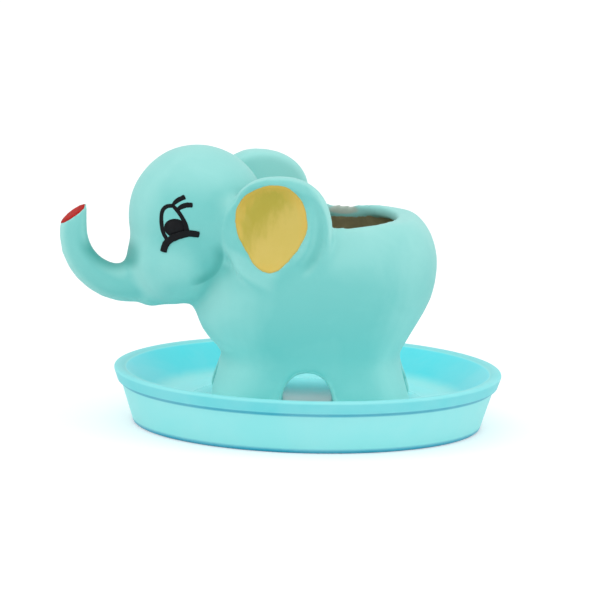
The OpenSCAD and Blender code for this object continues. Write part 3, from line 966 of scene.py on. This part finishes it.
class CLAY_OT_ear_dishes(bpy.types.Operator):
    """Brushes yellow into the dish of each ear"""
    bl_idname = "clay.ear_dishes"
    bl_label = "Ear dishes"

    # Reach of the paint from the dish's middle in millimetres, every 22.5
    # degrees from the rear upwards
    edge = (15.5, 16.6, 18.3, 20.0, 19.9, 19.1, 18.9, 17.4, 15.7, 14.7, 14.8, 17.7, 18.9, 16.2, 14.6, 14.4)
    middle = Vector((-3.1, 1.6, 0)) * MM
    rings, steps = 16, 96
    off_ear = 30 * MM
    slow_waves, slow_wander = 1.7, 0.35
    quick_waves, quick_wander = 5, 0.2
    # Object, material, CAD node, ear and where the brush started
    dishes = (
        ("ear_dish_left", "Brushed yellow left", "ear_paint_left", EAR_PLANE, 0),
        ("ear_dish_right", "Brushed yellow right", "ear_paint_right", FAR_EAR_PLANE, 7),
    )

    def reach(self, co, phase):
        """Reach of the paint's edge towards a vertex, drawn with an unsteady hand."""
        count = len(self.edge)
        turns = math.atan2(co.y, co.x) % math.tau / math.tau * count
        k = int(turns)
        rows = [(self.edge[(k + i) % count],) for i in (-1, 0, 1, 2)]
        slow = noise.noise(Vector((turns * self.slow_waves + phase, phase, 0)))
        quick = noise.noise(Vector((turns * self.quick_waves + phase, 3, 0)))
        return along(rows, (1 + turns - k) / 3)[0] + self.slow_wander * slow + self.quick_wander * quick

    def execute(self, context):
        settings = context.scene.clay_paint
        clay = Clay()
        for name, material_name, node, plane, phase in self.dishes:
            to_row = HEAD_TURN @ plane
            bm = disc(self.rings, self.steps)
            for vert in bm.verts:
                vert.co = self.middle + vert.co * self.reach(vert.co, phase) * MM
            direction = to_row.to_3x3() @ Vector((0, 0, -1))
            clay.lay(bm, lambda co: to_row @ Vector((co.x, co.y, self.off_ear)), direction, settings.film)
            material = dish_yellow(settings, to_row @ self.middle, material_name)
            finish_piece(linked(name, bm), "pot", "ear_paint", material, node)
        return {"FINISHED"}


class CLAY_OT_eyes(bpy.types.Operator):
    """Paints the lids, lashes and pupil of each eye with a brush"""
    bl_idname = "clay.eyes"
    bl_label = "Eyes"

    middle = Vector((-58.6, 0, 89.9)) * MM
    off_head = 70 * MM
    # Each stroke: places along it from the eye's middle, towards the rear and
    # up, and its width there, in millimetres
    strokes = (
        (
            (-8.3, -4.6, 1.5), (-10.1, -1.4, 1.6), (-11.0, 2.2, 1.6), (-11.2, 6.2, 1.5),
            (-10.6, 8.9, 1.5), (-9.0, 10.6, 1.6), (-6.5, 11.2, 1.6),
        ),
        (
            (-6.8, 11.4, 1.4), (-5.0, 9.6, 1.7), (-3.3, 7.4, 1.7), (-1.9, 5.0, 1.8),
            (-1.0, 2.8, 2.0), (-0.6, 0.6, 2.2),
        ),
        ((-6.5, 11.4, 1.2), (-5.6, 12.6, 1.6), (-4.3, 13.7, 1.8), (-2.9, 14.5, 1.9), (-1.3, 15.3, 2.0)),
        ((-4.5, 9.6, 1.2), (-3.3, 10.7, 1.9), (-1.5, 11.6, 2.1), (0.2, 11.9, 2.1), (1.9, 11.9, 2.0)),
        (
            (-10.0, -9.7, 2.6), (-9.6, -7.9, 2.7), (-8.8, -5.8, 2.8), (-7.3, -4.0, 3.0),
            (-4.8, -2.3, 3.1), (-2.0, -1.1, 3.1), (0.3, -0.5, 3.0), (2.6, -0.6, 2.8), (5.0, -0.9, 2.8),
        ),
    )
    stroke_faces = (40, 4)
    look = 0.02  # share of a stroke over which its direction is read
    stroke_end = 0.45  # share of the width at a stroke's very end
    blunt = 1.6
    stroke_wander = 0.10
    stroke_waves = 0.9
    # The pupil in millimetres: its middle, half its width, its reach up and
    # down, and its faces
    pupil_middle = (-5.3, 1.5)
    pupil_half = 4.7
    pupil_up, pupil_down = 4.1, 4.3
    pupil_steps, pupil_rings = 40, 5
    pupil_ring = 0.16  # as a share of its radius

    def ribbon(self, stroke):
        """A function that lays a place of a grid of size 1 along a stroke."""
        total = sum(math.dist(a[:2], b[:2]) for a, b in zip(stroke, stroke[1:]))

        def laid(co):
            share, across = co.x + 0.5, co.y
            x, z, width = along(stroke, share)
            ahead = along(stroke, min(1, share + self.look))
            behind = along(stroke, max(0, share - self.look))
            run = Vector((ahead[0] - behind[0], ahead[1] - behind[1])).normalized()
            end = min(share, 1 - share) * total / (width / 2)
            rounded = math.sqrt(1 - (1 - min(1, end * self.blunt)) ** 2)
            width *= self.stroke_end + (1 - self.stroke_end) * rounded
            wave = noise.noise(Vector((x * self.stroke_waves, z * self.stroke_waves, 1)))
            width *= 1 + self.stroke_wander * wave
            return Vector((x - run.y * across * width, 0, z + run.x * across * width)) * MM

        return laid

    def pupil(self, bm):
        bmesh.ops.create_circle(bm, cap_ends=True, segments=self.pupil_steps, radius=1)
        faces = bm.faces[:]
        for _ in range(self.pupil_rings):
            bmesh.ops.inset_region(bm, faces=faces, thickness=self.pupil_ring, use_even_offset=True)
        bmesh.ops.poke(bm, faces=faces)
        for vert in bm.verts:
            x, y = vert.co.x, vert.co.y
            tall = self.pupil_up if y > 0 else self.pupil_down
            place = (self.pupil_middle[0] + self.pupil_half * x, 0, self.pupil_middle[1] + tall * y)
            vert.co = Vector(place) * MM

    def execute(self, context):
        settings = context.scene.clay_paint
        clay = Clay()
        material = plain_paint("Eye black", settings.black, share=0.7, scale=500, roughness=0.5)
        columns, rows = self.stroke_faces
        sides = (
            ("eye_brushed_left", "eye_left", Matrix.Identity(4)),
            ("eye_brushed_right", "eye_right", FAR_SIDE),
        )
        for name, node, side in sides:
            to_row = HEAD_TURN @ side
            bm = bmesh.new()
            self.pupil(bm)
            for stroke in self.strokes:
                grid = bmesh.ops.create_grid(bm, x_segments=columns, y_segments=rows, size=0.5)
                laid = self.ribbon(stroke)
                for vert in grid["verts"]:
                    vert.co = laid(vert.co)
            direction = to_row.to_3x3() @ Vector((0, 1, 0))
            clay.lay(
                bm, lambda co: to_row @ (self.middle + Vector((co.x, -self.off_head, co.z))),
                direction, settings.film,
            )
            finish_piece(linked(name, bm), "pot", "eye_paint", material, node)
        return {"FINISHED"}


class CLAY_OT_trunk_end(bpy.types.Operator):
    """Paints the cut end of the trunk"""
    bl_idname = "clay.trunk_end"
    bl_label = "Trunk's end"

    rings, steps = 8, 64
    below_cut = 1.2 * MM
    bare_edge = 0.15 * MM
    off_cut = 4 * MM

    def execute(self, context):
        settings = context.scene.clay_paint
        clay = Clay()
        middle, normal = trunk_end()
        across = HEAD_TURN.to_3x3() @ Vector((0, 1, 0))
        down = across.cross(normal)
        bm = disc(self.rings, self.steps)
        for vert in bm.verts:
            share = vert.co.length
            out = (down * vert.co.x + across * vert.co.y).normalized()
            vert.co = middle
            if share:
                _, _, _, reach = clay.tree.ray_cast(middle - normal * self.below_cut, out)
                vert.co += out * share * (reach - self.bare_edge * (1 - noise.noise(out * 3)))
        clay.lay(bm, lambda co: co + normal * self.off_cut, -normal, settings.film)
        material = plain_paint("Trunk red", settings.red, share=0.72, scale=350, roughness=0.6)
        finish_piece(linked("trunk_end_red", bm), "pot", "tip_paint", material, "trunk_tip_paint")
        return {"FINISHED"}


def seen_directly(bench):
    """1 for what the camera sees, also in a reflection or through glass."""
    path = bench.add("ShaderNodeLightPath").outputs
    return bench.most(path["Is Camera Ray"], path["Is Glossy Ray"], path["Is Transmission Ray"])


class CLAY_OT_stage(bpy.types.Operator):
    """Sets out the floor, the soft lamps and the camera"""
    bl_idname = "clay.stage"
    bl_label = "Stage"

    # Place and size in metres, and share of the power, of each soft lamp
    lamps = (
        ("lamp_left", (-1.5, -0.35, 0.85), 1.3, 0.88),
        ("lamp_right", (1.5, -0.45, 0.85), 1.3, 0.92),
        ("lamp_top", (0.1, 0.1, 1.9), 1.6, 0.36),
        ("lamp_front", (0.1, -1.9, 0.4), 1.2, 0.85),
    )
    aim = Vector((0, 0, 0.06))
    floor_half = 6
    floor_squares = 8
    floor_tones = ((0.80, 0.80, 0.80), (0.82, 0.82, 0.82))
    floor_glow = 0.30
    # The camera's frame in pixels: its width, its scale to a metre at the
    # saucer's middle, and how far that lies right of and below its own middle
    frame_width = 600
    frame_scale = 2262
    frame_right, frame_down = 6.4, 123.4
    sensor = 36

    def floor(self):
        bm = bmesh.new()
        count = self.floor_squares
        bmesh.ops.create_grid(bm, x_segments=count, y_segments=count, size=self.floor_half)
        piece = linked("floor", bm)
        material, bench, place = new_material("Pale floor")
        tone = bench.blend(bench.noise(place, scale=3, detail=2), *self.floor_tones)
        matte = bench.add("ShaderNodeBsdfPrincipled", {"Base Color": tone, "Roughness": 0.9}).outputs[0]
        # Light of its own for what is seen directly keeps the floor white
        strength = bench.times(seen_directly(bench), self.floor_glow)
        glow = bench.add("ShaderNodeEmission", {"Color": (1, 1, 1), "Strength": strength}).outputs[0]
        both = bench.add("ShaderNodeAddShader", {0: matte, 1: glow}).outputs[0]
        bench.add("ShaderNodeOutputMaterial", {"Surface": both})
        piece.data.materials.append(material)

    def world(self, strength):
        world = bpy.data.worlds.new("White room")
        world.use_nodes = True
        world.node_tree.nodes.clear()
        bench = Bench(world.node_tree)
        level = bench.plus(bench.times(seen_directly(bench), 1 - strength), strength)
        sky = bench.add("ShaderNodeBackground", {"Color": (1, 1, 1), "Strength": level}).outputs[0]
        bench.add("ShaderNodeOutputWorld", {"Surface": sky})
        bpy.context.scene.world = world

    def lamp(self, name, place, size, power):
        data = bpy.data.lights.new(name, "AREA")
        data.shape = "DISK"
        data.size = size
        data.energy = power
        turned = (self.aim - Vector(place)).to_track_quat("-Z", "Y").to_matrix().to_4x4()
        in_scene(name, data).matrix_world = Matrix.Translation(place) @ turned

    def camera(self, settings):
        data = bpy.data.cameras.new("camera")
        data.sensor_width = self.sensor
        data.lens = self.frame_scale * settings.distance / self.frame_width * self.sensor
        data.clip_start = 0.1
        data.clip_end = 30
        data.shift_x = -self.frame_right / self.frame_width
        data.shift_y = self.frame_down / self.frame_width
        camera = in_scene("camera", data)
        level = Matrix.Rotation(math.radians(90) - settings.elevation, 3, "X")
        turned = level @ Matrix.Rotation(settings.roll, 3, "Z")
        camera.matrix_world = Matrix.Translation(turned.col[2] * settings.distance) @ turned.to_4x4()
        bpy.context.scene.camera = camera

    def execute(self, context):
        settings = context.scene.clay_stage
        self.floor()
        self.world(settings.daylight)
        for name, place, size, share in self.lamps:
            self.lamp(name, place, size, settings.key * share)
        self.camera(settings)
        context.scene.view_settings.view_transform = "Standard"
        return {"FINISHED"}


class CLAY_PT_pot(bpy.types.Panel):
    """Lists the steps that make the pot"""
    bl_idname = "CLAY_PT_pot"
    bl_label = "Elephant plant pot"
    bl_space_type = "VIEW_3D"
    bl_region_type = "UI"
    bl_category = "Clay"

    def draw(self, context):
        for operator in OPERATORS:
            self.layout.operator(operator.bl_idname)
        for name in SETTINGS:
            box = self.layout.box()
            settings = getattr(context.scene, name)
            for prop in settings.bl_rna.properties:
                if prop.identifier not in {"rna_type", "name"}:
                    box.prop(settings, prop.identifier)


SETTINGS = {
    "clay_pot": PotSettings,
    "clay_paint": PaintSettings,
    "clay_saucer": SaucerSettings,
    "clay_stage": StageSettings,
}
OPERATORS = (
    CLAY_OT_saucer, CLAY_OT_elephant, CLAY_OT_ear_dishes,
    CLAY_OT_eyes, CLAY_OT_trunk_end, CLAY_OT_stage,
)


def register():
    for cls in (*SETTINGS.values(), *OPERATORS, CLAY_PT_pot):
        bpy.utils.register_class(cls)
    for name, cls in SETTINGS.items():
        setattr(bpy.types.Scene, name, PointerProperty(type=cls))


def unregister():
    for name in SETTINGS:
        delattr(bpy.types.Scene, name)
    for cls in reversed((*SETTINGS.values(), *OPERATORS, CLAY_PT_pot)):
        bpy.utils.unregister_class(cls)


def main():
    register()
    bpy.ops.clay.saucer()
    bpy.ops.clay.elephant()
    bpy.ops.clay.ear_dishes()
    bpy.ops.clay.eyes()
    bpy.ops.clay.trunk_end()
    bpy.ops.clay.stage()


if __name__ == "__main__":
    main()
